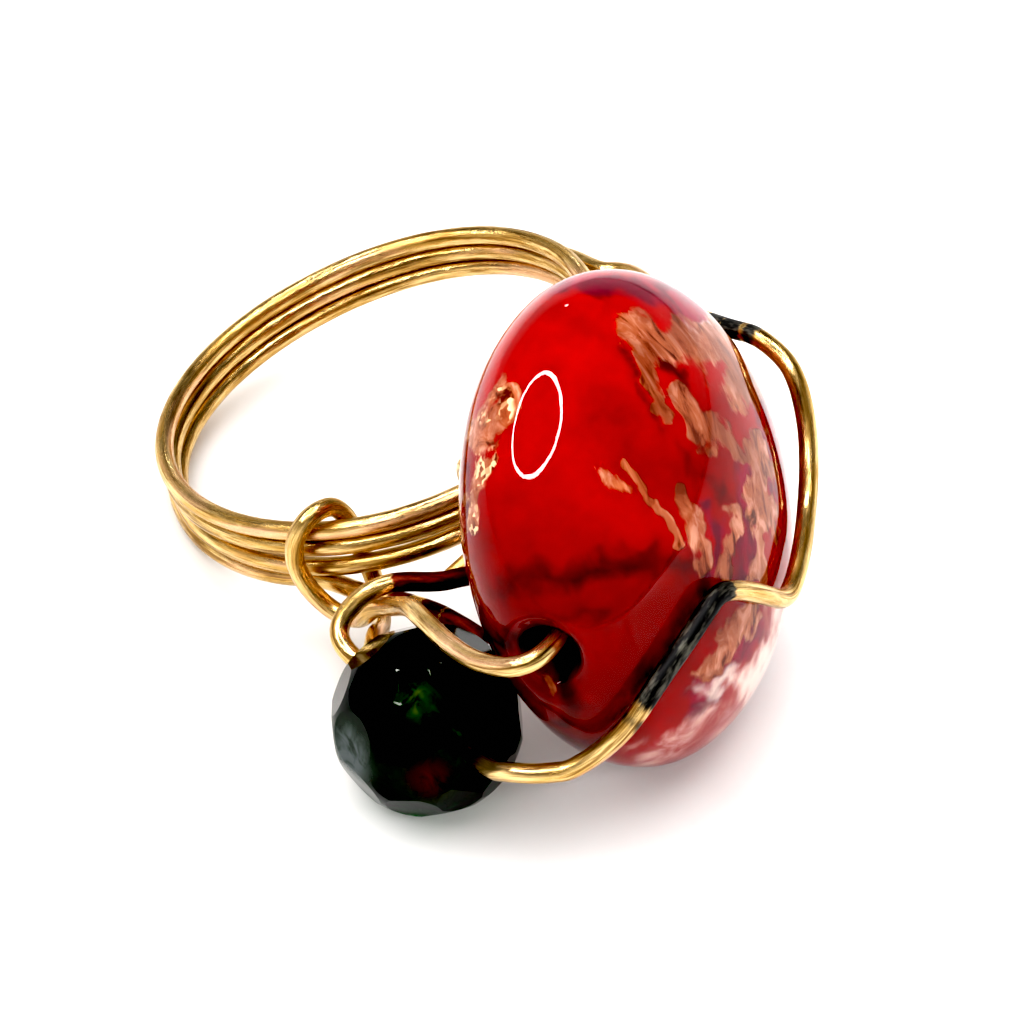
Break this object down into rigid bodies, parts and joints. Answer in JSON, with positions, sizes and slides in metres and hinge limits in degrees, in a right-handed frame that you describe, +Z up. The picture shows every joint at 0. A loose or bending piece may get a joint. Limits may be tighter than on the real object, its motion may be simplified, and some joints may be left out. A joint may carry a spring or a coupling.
{
  "type": "wire wrapped ring",
  "caption": "Finger ring of coiled brass-coloured wire with a large red glass bead and a small dark faceted bead, lying on its side.",
  "frame": {"origin": "middle of the bounding box at its bottom, on the floor that the ring lies on", "axes": "+Z up, +X to the right and +Y away as the ring is seen from its front; the finger hole's axis leans 18 degrees from +Z, towards -X"},
  "size_m": [0.0278, 0.0344, 0.019],
  "materials": {
    "glass_bead": "high gloss",
    "crystal_bead": "high gloss, faceted",
    "hoop_wire": "polished, lightly drawn",
    "frame_wire": "polished, with dark patina in places",
    "bead_wire": "polished, lightly drawn"
  },
  "bodies": {
    "root": {"glass_bead": "glass_bead", "crystal_bead": "crystal_bead", "hoop_wire": "hoop_wire", "frame_wire": "frame_wire", "bead_wire": "bead_wire"}
  },
  "joints": []
}
